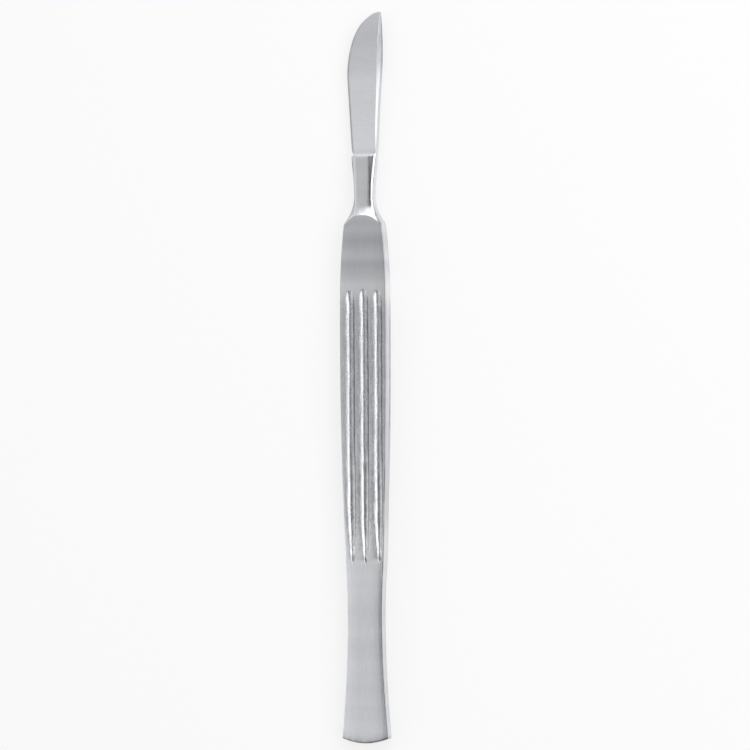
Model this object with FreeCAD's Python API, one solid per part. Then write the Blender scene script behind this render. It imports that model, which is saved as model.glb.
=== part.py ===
"""A one-piece scalpel: a fluted flat handle, a waisted neck and a bellied blade, forged and ground from one bar.

Lengths are millimetres. X runs across the handle towards the back of the blade, Y runs along the handle towards
the tip, and Z is the thickness. The scalpel lies on its lower handle face, which is the plane Z = 0, and the
origin is under the middle of its length on the handle's centre line.
"""

import math
import os

import FreeCAD, Part

Vector = FreeCAD.Vector

# Lengths from the tail to the tip
handle_length = 106.5
neck_length = 13.7
blade_length = 29.8

# Handle outline, as widths at distances from the tail end or back from the shoulder
tail_width = 9.86
tail_bulge = 1.05
tail_corner_radius = 0.5
flare_width = 8.56
flare_from_tail = 8.9
waist_width = 7.32
waist_from_tail = 25.5
rear_grip_width = 8.6
rear_grip_from_tail = 47.0
swell_width = 9.86
swell_from_shoulder = 25.5
shoulder_width = 7.96
shoulder_slope = 0.13

# Handle thickness, and the round along its edges
handle_thickness = 4.0
tail_thickness = 2.9
tail_taper_length = 34.0
edge_radius = 0.4

# Flutes, cut in both faces along the handle
flute_count = 3
flute_pitch = 2.9
flute_middle_x = 0.28
flute_width = 2.0
flute_depth = 0.58
flute_front_from_shoulder = 13.6
flute_length = 55.9
middle_flute_extra = 0.3
flute_front_lift = 0.29
flute_tail_steepest = 0.075
flute_tail_bend = 80.0
flute_exit_slope = 0.03

# Neck, at its narrowest place and at the foot of the blade
neck_width = 4.2
neck_thickness = 3.0
neck_narrow_from_shoulder = 5.5
neck_middle_x = 0.1
flare_radius_across = 7.2
flare_radius_through = 5.3
flare_through_start = 1.5
neck_squareness = 2.6
shoulder_squareness = 2.2

# Blade outline: the cutting edge is a straight heel and a quarter of an ellipse, and the back is a gentle bow
heel_edge_x = -2.62
belly_edge_x = -3.62
belly_from_heel = 16.6
tip_edge_x = 3.32
heel_back_x = 2.8
middle_back_x = 3.45
middle_back_from_heel = 11.6
high_back_x = 3.97
high_back_from_heel = 21.5
tip_back_x = 3.6
heel_thickness = 2.5
middle_back_thickness = 2.4
high_back_thickness = 2.1
tip_back_thickness = 1.4

# Blade grinding: each flank starts at a fine bevel and reaches its full thickness on a straight line near the back
grind_line_heel_x = 2.35
grind_line_tip_x = 3.3
grind_line_thickness = 1.76
edge_land = 0.04
edge_bevel_width = 0.35
edge_bevel_angle = 17.0
plunge_radius = 0.9
plunge_sink = 0.01

# Room that a cutting shape reaches past what it cuts, and how far the bar's flare starts inside the handle
overcut = 2.0
flare_start = 0.7

overall_length = handle_length + neck_length + blade_length
tail_y = -overall_length / 2
shoulder_y = tail_y + handle_length
heel_y = shoulder_y + neck_length
tip_y = heel_y + blade_length
neck_narrow_y = shoulder_y + neck_narrow_from_shoulder
half_handle = handle_thickness / 2
half_tail = tail_thickness / 2


def block(y_low, y_high, half_x, half_z):
    """A plain block centred on the Y axis, between two distances along it."""
    corner = Vector(-half_x, y_low, -half_z)
    return Part.makeBox(2 * half_x, y_high - y_low, 2 * half_z, corner)


def smooth_curve(points, tangents):
    """A curve through points, with the tangents that are given and none where the tangent is None."""
    curve = Part.BSplineCurve()
    flags = [t is not None for t in tangents]
    directions = [Vector(0, 1, 0) if t is None else t for t in tangents]
    curve.interpolate(Points=points, Tangents=directions, TangentFlags=flags)
    return curve.toShape()


def value_curve(stations, end_slopes):
    """A smooth curve of a value along Y, from (y, value) stations and the slopes at its two ends."""
    curve = Part.BSplineCurve()
    points = [Vector(y, value, 0) for y, value in stations]
    first, last = [Vector(1, slope, 0) for slope in end_slopes]
    places = [y for y, _ in stations]
    curve.interpolate(Points=points, Parameters=places, InitialTangent=first, FinalTangent=last, Scale=False)
    return curve


def oval(y, middle, half_width, half_thickness, squareness):
    """A closed oval across the bar at y: squareness 2 is an ellipse, and more is nearer to a rectangle."""
    point_count = 24
    power = 2 / squareness
    points = []
    for i in range(point_count):
        angle = 2 * math.pi * i / point_count
        across = math.copysign(abs(math.cos(angle)) ** power, math.cos(angle))
        through = math.copysign(abs(math.sin(angle)) ** power, math.sin(angle))
        points.append(Vector(middle + half_width * across, y, half_thickness * through))
    curve = Part.BSplineCurve()
    curve.interpolate(Points=points, Parameters=list(range(point_count + 1)), PeriodicFlag=True)
    return Part.Wire(curve.toShape())


def handle_outline(front_y):
    """The handle seen on its face, from the tail's bowed end to front_y past the shoulder."""
    along = Vector(0, 1, 0)
    inward = Vector(-shoulder_slope, 1, 0).normalize()
    front_width = shoulder_width - 2 * shoulder_slope * (front_y - shoulder_y)
    stations = [
        (tail_y + tail_bulge, tail_width, None),
        (tail_y + flare_from_tail, flare_width, None),
        (tail_y + waist_from_tail, waist_width, along),
        (tail_y + rear_grip_from_tail, rear_grip_width, None),
        (shoulder_y - swell_from_shoulder, swell_width, along),
        (shoulder_y, shoulder_width, inward),
        (front_y, front_width, inward),
    ]
    points = [Vector(width / 2, y, 0) for y, width, _ in stations]
    right = smooth_curve(points, [tangent for _, _, tangent in stations])
    left = right.mirror(Vector(), Vector(1, 0, 0))
    front_corner = points[-1]
    front = Part.makeLine(front_corner, Vector(-front_corner.x, front_corner.y, 0))
    corner = points[0]
    tail = Part.Arc(Vector(-corner.x, corner.y, 0), Vector(0, tail_y, 0), corner).toShape()
    return Part.Face(Part.Wire(Part.sortEdges([right, front, left, tail])[0]))


def handle_profile(front_y):
    """The handle seen on its edge: level faces that bow inwards towards the tail."""
    taper_y = tail_y + tail_taper_length
    drop = half_handle - half_tail
    middle_y = tail_y + tail_taper_length / 2
    middle_half = half_handle - drop / 4
    edges = []
    for side in (1, -1):
        tail_end = Vector(0, tail_y, side * half_tail)
        taper_end = Vector(0, taper_y, side * half_handle)
        edges.append(Part.Arc(tail_end, Vector(0, middle_y, side * middle_half), taper_end).toShape())
        edges.append(Part.makeLine(taper_end, Vector(0, front_y, side * half_handle)))
    edges.append(Part.makeLine(Vector(0, tail_y, -half_tail), Vector(0, tail_y, half_tail)))
    edges.append(Part.makeLine(Vector(0, front_y, -half_handle), Vector(0, front_y, half_handle)))
    return Part.Face(Part.Wire(Part.sortEdges(edges)[0]))


def handle_blank(front_y):
    """The handle before its flutes and shoulder are cut, with its tail corners and long edges rounded."""
    plan = handle_outline(front_y)
    plan.translate(Vector(0, 0, -handle_thickness))
    slab = plan.extrude(Vector(0, 0, 2 * handle_thickness))
    upright = [e for e in slab.Edges if e.BoundBox.ZLength > handle_thickness]
    slab = slab.makeFillet(tail_corner_radius, [e for e in upright if e.BoundBox.YMax < 0])
    profile = handle_profile(front_y)
    profile.translate(Vector(-swell_width, 0, 0))
    blank = slab.common(profile.extrude(Vector(2 * swell_width, 0, 0)))
    level = [e for e in blank.Edges if e.BoundBox.ZLength < tail_thickness / 2]
    return blank.makeFillet(edge_radius, [e for e in level if e.BoundBox.YMin < front_y - edge_radius])


def forged_bar():
    """The neck and the thick bar that the blade is ground from, with the flare that cuts the shoulder."""
    outside = edge_bevel_width
    past_tip_y = tip_y + overcut / 2
    left = value_curve(
        [
            (neck_narrow_y, neck_middle_x - neck_width / 2),
            (heel_y, heel_edge_x - outside / 4),
            (heel_y + belly_from_heel, belly_edge_x - outside),
            (past_tip_y, belly_edge_x - outside),
        ],
        (0, 0),
    )
    right = value_curve(
        [
            (neck_narrow_y, neck_middle_x + neck_width / 2),
            (heel_y, heel_back_x),
            (heel_y + middle_back_from_heel, middle_back_x),
            (heel_y + high_back_from_heel, high_back_x),
            (past_tip_y, tip_back_x - (high_back_x - tip_back_x) / 4),
        ],
        (0, -0.08),
    )
    through = value_curve(
        [
            (neck_narrow_y, neck_thickness / 2),
            (heel_y, heel_thickness / 2),
            (heel_y + middle_back_from_heel, middle_back_thickness / 2),
            (heel_y + high_back_from_heel, high_back_thickness / 2),
            (past_tip_y, tip_back_thickness / 2),
        ],
        (0, -0.05),
    )
    step_count = 20
    first_step = 0.8
    start_y = shoulder_y - flare_start
    growth = (past_tip_y - start_y - first_step * step_count) / step_count**2
    wires = []
    for i in range(step_count + 1):
        y = start_y + first_step * i + growth * i**2
        back = max(0, neck_narrow_y - y)
        back_through = max(0, back - flare_through_start)
        wider = flare_radius_across - math.sqrt(flare_radius_across**2 - back**2)
        thicker = flare_radius_through - math.sqrt(flare_radius_through**2 - back_through**2)
        place = min(max(y, neck_narrow_y), past_tip_y)
        left_x = left.value(place).y - wider
        right_x = right.value(place).y + wider
        half_thickness = through.value(place).y + thicker
        blend = min(1, back / neck_narrow_from_shoulder)
        squareness = neck_squareness + blend * (shoulder_squareness - neck_squareness)
        middle = (left_x + right_x) / 2
        wires.append(oval(y, middle, right_x - middle, half_thickness, squareness))
    return Part.makeLoft(wires, True, False)


def edge_point(turn):
    """A point of the cutting edge's belly: turn is 0 where the belly starts and 90 degrees at the tip."""
    belly_y = heel_y + belly_from_heel
    wide = tip_edge_x - belly_edge_x
    high = tip_y - belly_y
    angle = math.radians(turn)
    return Vector(tip_edge_x - wide * math.cos(angle), belly_y + high * math.sin(angle), 0)


def bevel_half_thickness():
    """Half the thickness where the fine bevel meets the flank."""
    return edge_land / 2 + edge_bevel_width * math.tan(math.radians(edge_bevel_angle))


def flank_slope(edge):
    """How fast half the thickness grows inwards from the bevel, so that the flank meets the line near the back."""
    along = (edge.y - heel_y) / blade_length
    line_x = grind_line_heel_x + along * (grind_line_tip_x - grind_line_heel_x)
    return (grind_line_thickness / 2 - bevel_half_thickness()) / (line_x - edge.x - edge_bevel_width)


def wedge_section(edge, far, slope):
    """The ground wedge's section from the cutting edge to a point past the blade's back."""
    inward = (far - edge).normalize()
    bevel = edge + inward * edge_bevel_width
    half_land = edge_land / 2
    half_bevel = bevel_half_thickness()
    half_far = half_bevel + ((far - edge).Length - edge_bevel_width) * slope
    upper = [(edge, half_land), (bevel, half_bevel), (far, half_far)]
    lower = [(far, -half_far), (bevel, -half_bevel), (edge, -half_land)]
    return Part.makePolygon([p + Vector(0, 0, z) for p, z in [*upper, *lower, upper[0]]])


def ground_wedge():
    """Both flanks and the fine bevels at the edge: a wedge that fans round the belly to the tip."""
    far_x = high_back_x + overcut
    fan = 0.6
    heel_edge = Vector(heel_edge_x, heel_y, 0)
    belly_edge = edge_point(0)
    start = heel_edge + (heel_edge - belly_edge).normalize() * overcut
    heel_wires = []
    for edge in (start, belly_edge):
        heel_wires.append(wedge_section(edge, Vector(far_x, edge.y, 0), flank_slope(edge)))
    belly_wires = []
    belly_slope = flank_slope(belly_edge)
    for turn in range(0, 106, 15):
        edge = edge_point(turn)
        top = edge_point(min(turn, 90))
        past = max(0, turn - 90) / 90
        far = Vector(far_x, belly_edge.y + fan * (top.y - belly_edge.y) + past, 0)
        belly_wires.append(wedge_section(edge, far, belly_slope))
    heel = Part.makeLoft(heel_wires, True, True)
    belly = Part.makeLoft(belly_wires, True, False)
    return heel.fuse(belly)


def heel_round(side):
    """The hollow that the grinding wheel leaves between a flank and the neck, on one side of the blade."""
    slope = flank_slope(Vector(heel_edge_x, heel_y, 0))
    x = heel_edge_x - overcut
    foot_z = bevel_half_thickness() - slope * (edge_bevel_width + overcut) - plunge_sink
    turn = plunge_radius * (1 - math.sqrt(0.5))
    foot = Vector(x, heel_y + plunge_radius, side * foot_z)
    bend = Vector(x, heel_y + turn, side * (foot_z + turn))
    wall = Vector(x, heel_y, side * (foot_z + plunge_radius))
    wall_top = Vector(x, heel_y, side * neck_thickness)
    back_top = Vector(x, shoulder_y, side * neck_thickness)
    back_foot = Vector(x, shoulder_y, side * foot_z)
    corners = [wall, wall_top, back_top, back_foot, foot]
    lines = [Part.makeLine(a, b) for a, b in zip(corners, corners[1:])]
    profile = Part.Face(Part.Wire([Part.Arc(foot, bend, wall).toShape(), *lines]))
    across = 2 * neck_width + overcut
    return profile.extrude(Vector(across, 0, side * slope * across))


def path_step(start, heading, length, turn):
    """One piece of a path in the YZ plane: a line, or an arc that turns the heading by turn radians."""
    if turn == 0:
        end = start + Vector(0, math.cos(heading), math.sin(heading)) * length
        return Part.makeLine(start, end), end
    radius = length / turn
    half = heading + turn / 4
    whole = heading + turn / 2
    middle = start + Vector(0, math.cos(half), math.sin(half)) * (2 * radius * math.sin(turn / 4))
    end = start + Vector(0, math.cos(whole), math.sin(whole)) * (2 * radius * math.sin(turn / 2))
    return Part.Arc(start, middle, end).toShape(), end


def flute_cutter(x, side, front_y, tail_end_y):
    """A rod whose round side cuts one flute at x in the upper or lower face, lifting out at both ends."""
    radius = ((flute_width / 2) ** 2 + flute_depth**2) / (2 * flute_depth)
    floor_z = half_handle + radius - flute_depth
    steep = math.atan(flute_tail_steepest)
    exit_angle = math.atan(flute_exit_slope)
    clear = 0.05

    # Lengths of the run-outs: the tail's two bends and the shallow line after them, and the front's one arc
    first_rise = flute_tail_bend * (1 - math.cos(steep))
    second_rise = flute_tail_bend * (math.cos(exit_angle) - math.cos(steep))
    line_rise = flute_depth - first_rise - second_rise
    bends_length = flute_tail_bend * (2 * math.sin(steep) - math.sin(exit_angle))
    tail_floor_y = tail_end_y + bends_length + line_rise / math.tan(exit_angle)
    front_radius = flute_depth / (1 - math.cos(flute_front_lift))
    front_floor_y = front_y - front_radius * math.sin(flute_front_lift)

    floor_start = Vector(x, tail_floor_y, floor_z)
    floor_end = Vector(x, front_floor_y, floor_z)
    tailwards = math.pi
    first, p = path_step(floor_start, tailwards, flute_tail_bend * steep, -steep)
    back_turn = steep - exit_angle
    second, p = path_step(p, tailwards - steep, flute_tail_bend * back_turn, back_turn)
    third, p = path_step(p, tailwards - exit_angle, (line_rise + clear) / math.sin(exit_angle), 0)
    lift = flute_front_lift + clear
    front, _ = path_step(floor_end, 0, front_radius * lift, lift)
    path = Part.Wire([third, second, first, Part.makeLine(floor_start, floor_end), front])
    down = Vector(0, math.cos(exit_angle), -math.sin(exit_angle))
    circle = Part.Wire(Part.makeCircle(radius, p, down))
    rod = path.makePipeShell([circle], True, True)
    if side < 0:
        rod = rod.mirror(Vector(), Vector(0, 0, 1))
    return rod


def flutes():
    """Every flute cutter of both faces."""
    cutters = []
    front_y = shoulder_y - flute_front_from_shoulder
    for side in (1, -1):
        for i in range(flute_count):
            place = i - (flute_count - 1) / 2
            extra = middle_flute_extra if place == 0 else 0
            tail_end_y = front_y - flute_length - extra
            x = flute_middle_x + place * flute_pitch
            cutters.append(flute_cutter(x, side, front_y + extra, tail_end_y))
    return cutters


def forged_scalpel():
    """Handle, shoulder, neck and blade as one solid, centred on Z = 0."""
    wide = 2 * swell_width
    bar_start_y = shoulder_y - flare_start
    join_y = shoulder_y + neck_narrow_from_shoulder / 2
    left_whole = block(bar_start_y - overcut, heel_y, wide, wide)
    ground = ground_wedge().fuse([left_whole, heel_round(1), heel_round(-1)])
    bar = forged_bar().common(ground)
    behind = block(tail_y - overcut, bar_start_y, wide, wide)
    ahead = block(join_y, tip_y + overcut, wide, wide)
    room = handle_blank(join_y).fuse(ahead)
    whole = room.common(behind.fuse(bar))
    return whole.cut(flutes())


def main():
    os.makedirs("parts", exist_ok=True)
    scalpel = forged_scalpel()
    scalpel.translate(Vector(0, 0, half_handle))
    solid = scalpel.Solids[0]
    print("solids", len(scalpel.Solids), "valid", scalpel.isValid(), "volume", round(solid.Volume, 1))
    solid.exportStep("parts/scalpel.step")


main()
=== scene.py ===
# %% [markdown]
# A solid scalpel is one piece of stainless steel: a flat handle with three flutes ground into each face, a
# waisted neck and a ground blade. This lesson makes it from one box, so that nothing has to be joined. The
# box is divided into rows and columns, the cage is pulled to shape like a forging, and a subdivision
# surface rounds it. The imported model is loaded first, and the new piece takes its node's place.

import math
import random

import bmesh
import bpy
from mathutils import Matrix, Vector


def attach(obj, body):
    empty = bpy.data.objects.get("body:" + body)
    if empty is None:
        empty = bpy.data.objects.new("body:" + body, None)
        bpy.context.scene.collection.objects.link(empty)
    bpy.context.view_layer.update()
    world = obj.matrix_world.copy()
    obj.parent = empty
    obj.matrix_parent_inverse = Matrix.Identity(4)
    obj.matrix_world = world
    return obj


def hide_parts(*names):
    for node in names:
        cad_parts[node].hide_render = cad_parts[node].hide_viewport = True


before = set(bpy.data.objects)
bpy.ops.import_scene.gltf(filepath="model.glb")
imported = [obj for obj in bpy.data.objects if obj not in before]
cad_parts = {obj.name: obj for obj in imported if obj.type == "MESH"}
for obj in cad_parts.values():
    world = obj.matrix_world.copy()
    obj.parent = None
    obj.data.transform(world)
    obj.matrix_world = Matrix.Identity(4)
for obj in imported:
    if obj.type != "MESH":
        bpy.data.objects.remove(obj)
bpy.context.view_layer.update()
bpy.ops.object.select_all(action="DESELECT")
mm = 0.001


# %% [markdown]
# The scalpel's lengths are millimetres, and places along it count from the middle of its length. Half the
# thickness is a hair under 2, so that the rounded piece stays inside the box. A value that changes along the
# object is kept as a few stations, and a smooth curve runs between them.

# %% Places along the object, and a smooth curve between stations
tail_y = -75.0
shoulder_y = 31.5
neck_y = 37.0
heel_y = 45.2
belly_y = 61.8
tip_y = 75.0
middle_z = 2.0
handle_half_thickness = 1.9999


def smooth_value(stations, y):
    """The value at y on a smooth curve through (y, value, slope) stations."""
    if y <= stations[0][0]:
        return stations[0][1]
    for (y0, v0, s0), (y1, v1, s1) in zip(stations, stations[1:]):
        if y <= y1:
            length = y1 - y0
            t = (y - y0) / length
            start = (1 + 2 * t) * (1 - t) ** 2 * v0 + t * (1 - t) ** 2 * s0 * length
            end = t * t * (3 - 2 * t) * v1 + t * t * (t - 1) * s1 * length
            return start + end
    return stations[-1][1]


def ease(low, high, value):
    """0 at low, 1 at high, level past them and a smooth change between. Low may be the larger of the two."""
    t = min(1, max(0, (value - low) / (high - low)))
    return t * t * (3 - 2 * t)


print("the object is", tip_y - tail_y, "mm long")

# %% [markdown]
# The handle is widest at its swell and at its bowed tail, and narrow at the waist between them. It is level
# in front and thins towards the tail, slowly at first.

# %% Handle widths and thickness
half_width_stations = [
    (-73.95, 4.908, -0.095),
    (-66.1, 4.28, -0.069),
    (-49.5, 3.66, 0.0),
    (-28.0, 4.3, 0.0385),
    (6.0, 4.912, 0.0),
    (shoulder_y, 3.98, -0.13),
    (33.5, 3.72, -0.13),
]
tail_half_thickness = 1.45
taper_start_y = -10.0
taper_power = 1.3
tail_bow = 1.05


def half_width(y):
    """Half the width of the handle at y."""
    return smooth_value(half_width_stations, y)


def half_thickness(y):
    """Half the thickness of the handle at y: level, then less and less to the tail."""
    back = max(0, taper_start_y - y) / (taper_start_y - tail_y)
    return handle_half_thickness - (handle_half_thickness - tail_half_thickness) * back**taper_power


for y in (-74, -50, 6, 31):
    width_there = round(2 * half_width(y), 2)
    print("handle at", y, "is", width_there, "wide and", round(2 * half_thickness(y), 2), "thick")

# %% [markdown]
# Each flute is the trace of a round grinding wheel. Where the wheel lifts out, the groove gets shallower
# and narrower together, so its depth gives the whole section. Flutes ground by hand waver and drift a
# little, and the wheel touched down once more at the tail end, which leaves a pinch and then a scoop.

# %% Flute sections along the handle
flute_middles = [-2.72, 0.2, 3.1]
flute_radius = 1.152
flute_depth = 0.58
flute_front_y = 17.9
flute_tail_y = -38.0
front_run = 3.97
front_run_radius = 13.9
flute_depth_stations = [
    (flute_tail_y, 0.0, 0.13),
    (flute_tail_y + 5.57, 0.22, 0.05),
    (flute_tail_y + 9.16, 0.43, 0.05),
    (flute_tail_y + 15.15, flute_depth, 0.0),
]
pinch_y = [-34.6, -36.1, -35.3]
pinch_length = 0.7
pinch_share = 0.55
tail_drift = [0.45, 0.28, 0.27]
drift_length = [34.0, 20.0, 18.0]
drift_power = 3


def depth_at(flute, y):
    """Depth of a flute at y, from its long rear run-out, the pinch there and its short front run-out."""
    rear = smooth_value(flute_depth_stations, y)
    rear *= 1 - pinch_share * math.exp(-(((y - pinch_y[flute]) / pinch_length) ** 2))
    into_run = max(0, y - (flute_front_y - front_run))
    lifted = front_run_radius - math.sqrt(max(0, front_run_radius**2 - into_run**2))
    return max(0.0, min(rear, flute_depth - lifted))


def flute_half_width(depth):
    """Half the width that a wheel of the flute's radius leaves at that depth."""
    return math.sqrt(max(0, 2 * flute_radius * depth - depth**2))


def flute_x(flute, y):
    """The middle line of a flute at y."""
    drift_start_y = flute_tail_y + drift_length[flute]
    t = min(1, max(0, (drift_start_y - y) / drift_length[flute]))
    return flute_middles[flute] + tail_drift[flute] * t**drift_power


print("a flute is", round(2 * flute_half_width(flute_depth), 2), "mm wide at its full depth")

# %% [markdown]
# The cage is a box cut across into rows and along into columns: a corner, a margin, five columns for each
# flute (its two rims, its two walls and its floor), a margin and a corner. Its sides are cut at three
# heights. Rows are close together only where the shape changes fast. Bisecting keeps every face a quad,
# which a subdivision surface likes best.

# %% A box, cut into rows and columns
box_half_width = 4.93
margin = 0.3
side_cut = 0.6
flute_places = (-1, -0.53, 0, 0.76, 1)

tail_rows = [-74.3, -73.0, -70.8, -68.0, -65.0, -61.5, -58.0, -54.0, -50.0, -46.0, -43.0, -40.6, -38.9]
rear_run_rows = [-38.0, -37.6, -36.9, -36.0, -35.2, -34.5, -33.6, -32.2, -30.6, -28.84, -26.6, -24.6, -22.85]
straight_step = 2.6
straight_row_count = 13
straight_rows = [rear_run_rows[-1] + straight_step * (i + 1) for i in range(straight_row_count)]
front_run_rows = [12.6, 13.93, 15.7, 16.7, 17.4, 17.9]
shoulder_rows = [18.7, 20.5, 23.5, 26.5, 29.0]
handle_rows = [tail_y] + tail_rows + rear_run_rows + straight_rows + front_run_rows + shoulder_rows
ramp_parts = [0.0, 0.12, 0.3, 0.52, 0.76, 1.0]
neck_rows = [38.8, 41.0, 43.2, 44.6]
plunge_row_count = 3
blade_rows = [47.0, 49.0, 51.6, 54.4, 57.2, 59.8, belly_y]
belly_turns = [6, 13, 21, 30, 40, 50, 59, 67, 74, 80, 85, 88, 90]
ahead_count = 1 + len(ramp_parts) + len(neck_rows) + plunge_row_count + len(blade_rows) + len(belly_turns)
first_ahead_y = 30.5
ahead_step = (tip_y - first_ahead_y) / (ahead_count - 1)
rows = handle_rows + [first_ahead_y + ahead_step * i for i in range(ahead_count)]

full_half = flute_half_width(flute_depth)
columns = [-box_half_width, -box_half_width + margin]
for middle in flute_middles:
    columns += [middle + full_half * part for part in flute_places]
columns += [box_half_width - margin, box_half_width]

bpy.ops.mesh.primitive_cube_add(size=1, location=(0, 0, middle_z * mm))
scalpel = bpy.context.object
scalpel.name = "scalpel_steel"
box_size = (2 * box_half_width, tip_y - tail_y, 2 * handle_half_thickness)
bpy.ops.transform.resize(value=[length * mm for length in box_size])
bpy.ops.object.transform_apply(location=True, rotation=True, scale=True)


def cut_across(place, direction):
    """Bisects the whole cage by a plane at that place, square to the direction."""
    bpy.ops.mesh.select_all(action="SELECT")
    bpy.ops.mesh.bisect(plane_co=[place * mm * d for d in direction], plane_no=direction)


side_heights = [
    middle_z - handle_half_thickness + side_cut,
    middle_z,
    middle_z + handle_half_thickness - side_cut,
]
bpy.ops.object.mode_set(mode="EDIT")
for y in rows[1:-1]:
    cut_across(y, (0, 1, 0))
for x in columns[1:-1]:
    cut_across(x, (1, 0, 0))
for z in side_heights:
    cut_across(z, (0, 0, 1))
bpy.ops.object.mode_set(mode="OBJECT")
print(len(rows), "rows,", len(columns), "columns,", len(scalpel.data.vertices), "points in the cage")

# %% [markdown]
# Each point of the cage gets an address: its row, and its place on the ring round the section. Places count
# from the middle of the left side, where the cutting edge will be, over the upper face to the middle of the
# right side, and back under the lower face. The two end faces keep their own points.

# %% Addresses of the cage's points
column_count = len(columns)
right_middle = column_count + 3
ring_size = 2 * right_middle
heights = [middle_z - handle_half_thickness] + side_heights + [middle_z + handle_half_thickness]
middle_level = heights.index(middle_z)
top_level = len(heights) - 1


def nearest(values, value):
    """The index of the value in the list that is nearest."""
    return min(range(len(values)), key=lambda i: abs(values[i] - value))


def mirrored(place):
    """The place straight below or above a place of the ring, on the other face."""
    return (ring_size - place) % ring_size


cage = {}
end_points = {}
for vertex in scalpel.data.vertices:
    row = nearest(rows, vertex.co.y / mm)
    column = nearest(columns, vertex.co.x / mm)
    level = nearest(heights, vertex.co.z / mm)
    if level == top_level:
        cage[row, 2 + column] = vertex.index
    elif level == 0:
        cage[row, mirrored(2 + column)] = vertex.index
    elif column == 0:
        cage[row, (level - middle_level) % ring_size] = vertex.index
    elif column == column_count - 1:
        cage[row, right_middle + middle_level - level] = vertex.index
    else:
        end_points[row, column, level] = vertex.index
print(len(cage), "points on rings of", ring_size, "and", len(end_points), "inside the two end faces")

# %% [markdown]
# A few helpers stand for the hand at the mouse. They pick points, move them together, and slide a column of
# one row sideways until it stands at a wanted x, on both faces at once.

# %% Pick and pull
def pick(points):
    """Selects these points of the cage in edit mode, and nothing else."""
    bpy.ops.mesh.select_all(action="DESELECT")
    mesh = bmesh.from_edit_mesh(scalpel.data)
    mesh.verts.ensure_lookup_table()
    for index in points:
        mesh.verts[index].select = True
    mesh.select_flush(True)
    bmesh.update_edit_mesh(scalpel.data, loop_triangles=False, destructive=False)


def pull(points, offset):
    """Moves these points of the cage together, by millimetres."""
    pick(points)
    bpy.ops.transform.translate(value=[length * mm for length in offset])


def column_points(row, column):
    """The points of one column on one row: on both faces, down a side, and on an end face."""
    points = [cage[row, 2 + column], cage[row, mirrored(2 + column)]]
    if column == 0:
        points += [cage[row, place % ring_size] for place in (-1, 0, 1)]
    if column == column_count - 1:
        points += [cage[row, right_middle + step] for step in (-1, 0, 1)]
    points += [index for (r, c, _), index in end_points.items() if (r, c) == (row, column)]
    return points


def slide(row, column, x):
    """Slides one column of one row to x."""
    pull(column_points(row, column), (x - columns[column], 0, 0))


def row_points(row):
    """Every point of one row."""
    points = [cage[row, place] for place in range(ring_size)]
    return points + [index for (r, _, _), index in end_points.items() if r == row]


print("a row has", len(row_points(1)), "points to pick")

# %% [markdown]
# On every row the corners go to the handle's width, and a margin column close to each corner keeps the
# edge's rounding small. The right margin is narrower towards the tail, where that edge is sharper, and both
# edges stand a little fuller around the flutes' tail ends. Away from the flutes the other columns share the
# width. Where the handle thins, the whole row is pressed towards the middle of the thickness.

# %% Draw in the handle's outline and thin its tail
right_margin_stations = [(-29.0, 0.08, 0), (-10.0, 0.2, 0)]
left_fullness = 0.06
right_fullness = 0.16
fuller_from = (-25, -34)
fuller_until = (-46, -38)
most_wander = 0.035
least_spread = 0.96
most_spread = 1.03
first_flute_row = rows.index(flute_tail_y)
last_flute_row = rows.index(flute_front_y)
tip_half_widths = {first_flute_row: 0.07, last_flute_row: 0.36}
bow_shares = [1.0, 0.92, 0.55, 0.2]

waver = random.Random(7)
flute_wavers = {}
for row in range(first_flute_row + 2, last_flute_row - 1):
    flute_wavers[row] = []
    for _ in flute_middles:
        wander = waver.uniform(-most_wander, most_wander)
        flute_wavers[row].append((wander, waver.uniform(least_spread, most_spread)))


def flute_columns(flute, row):
    """The x of the five columns of one flute on a row, rim to rim."""
    y = rows[row]
    wander, spread = flute_wavers.get(row, [(0, 1)] * len(flute_middles))[flute]
    half = tip_half_widths.get(row, flute_half_width(depth_at(flute, y)) * spread)
    middle = flute_x(flute, y) + wander
    return [middle + half * part for part in flute_places]


def handle_columns(row):
    """The x of every column of one row of the handle."""
    bow = tail_bow * bow_shares[row] if row < len(bow_shares) else 0
    width = half_width(rows[row] + bow)
    if first_flute_row <= row <= last_flute_row:
        between = [x for flute in range(len(flute_middles)) for x in flute_columns(flute, row)]
    else:
        between = [x * width / box_half_width for x in columns[2:-2]]
    fuller = ease(*fuller_from, rows[row]) * ease(*fuller_until, rows[row])
    left_x = -width - left_fullness * fuller
    right_x = width + right_fullness * fuller
    right_margin = min(smooth_value(right_margin_stations, rows[row]), (right_x - between[-1]) / 2)
    return [left_x, left_x + margin, *between, right_x - right_margin, right_x]


bpy.ops.object.mode_set(mode="EDIT")
for row, y in enumerate(handle_rows):
    for column, x in enumerate(handle_columns(row)):
        slide(row, column, x)
    thin = half_thickness(y) / handle_half_thickness
    if thin < 1:
        pick(row_points(row))
        bpy.ops.transform.resize(value=(1, 1, thin), center_override=(0, y * mm, middle_z * mm))
print("waist row is", round(2 * half_width(-50.0), 2), "mm wide")

# %% [markdown]
# Polishing rolls the faces over a little towards their long edges, most of all behind the flutes. It is
# only a tenth of a millimetre, but it shows, because steel mirrors the room. The tail end is bowed: its
# middle stands a millimetre further back than its corners.

# %% Roll the faces over, and bow the tail
tail_roll = 0.13
front_roll = 0.05
roll_growth = (-32, -42)
roll_power = 4
least_roll = 0.004


def sink(row, places, depth):
    """Pushes places of a row into the steel on both faces."""
    pull([cage[row, place] for place in places], (0, 0, -depth))
    pull([cage[row, mirrored(place)] for place in places], (0, 0, depth))


for row, y in enumerate(handle_rows):
    roll = front_roll + (tail_roll - front_roll) * ease(*roll_growth, y)
    across = handle_columns(row)
    for column, x in enumerate(across):
        depth = roll * (x / across[-1]) ** roll_power
        if depth > least_roll:
            sink(row, [2 + column], depth)

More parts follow.
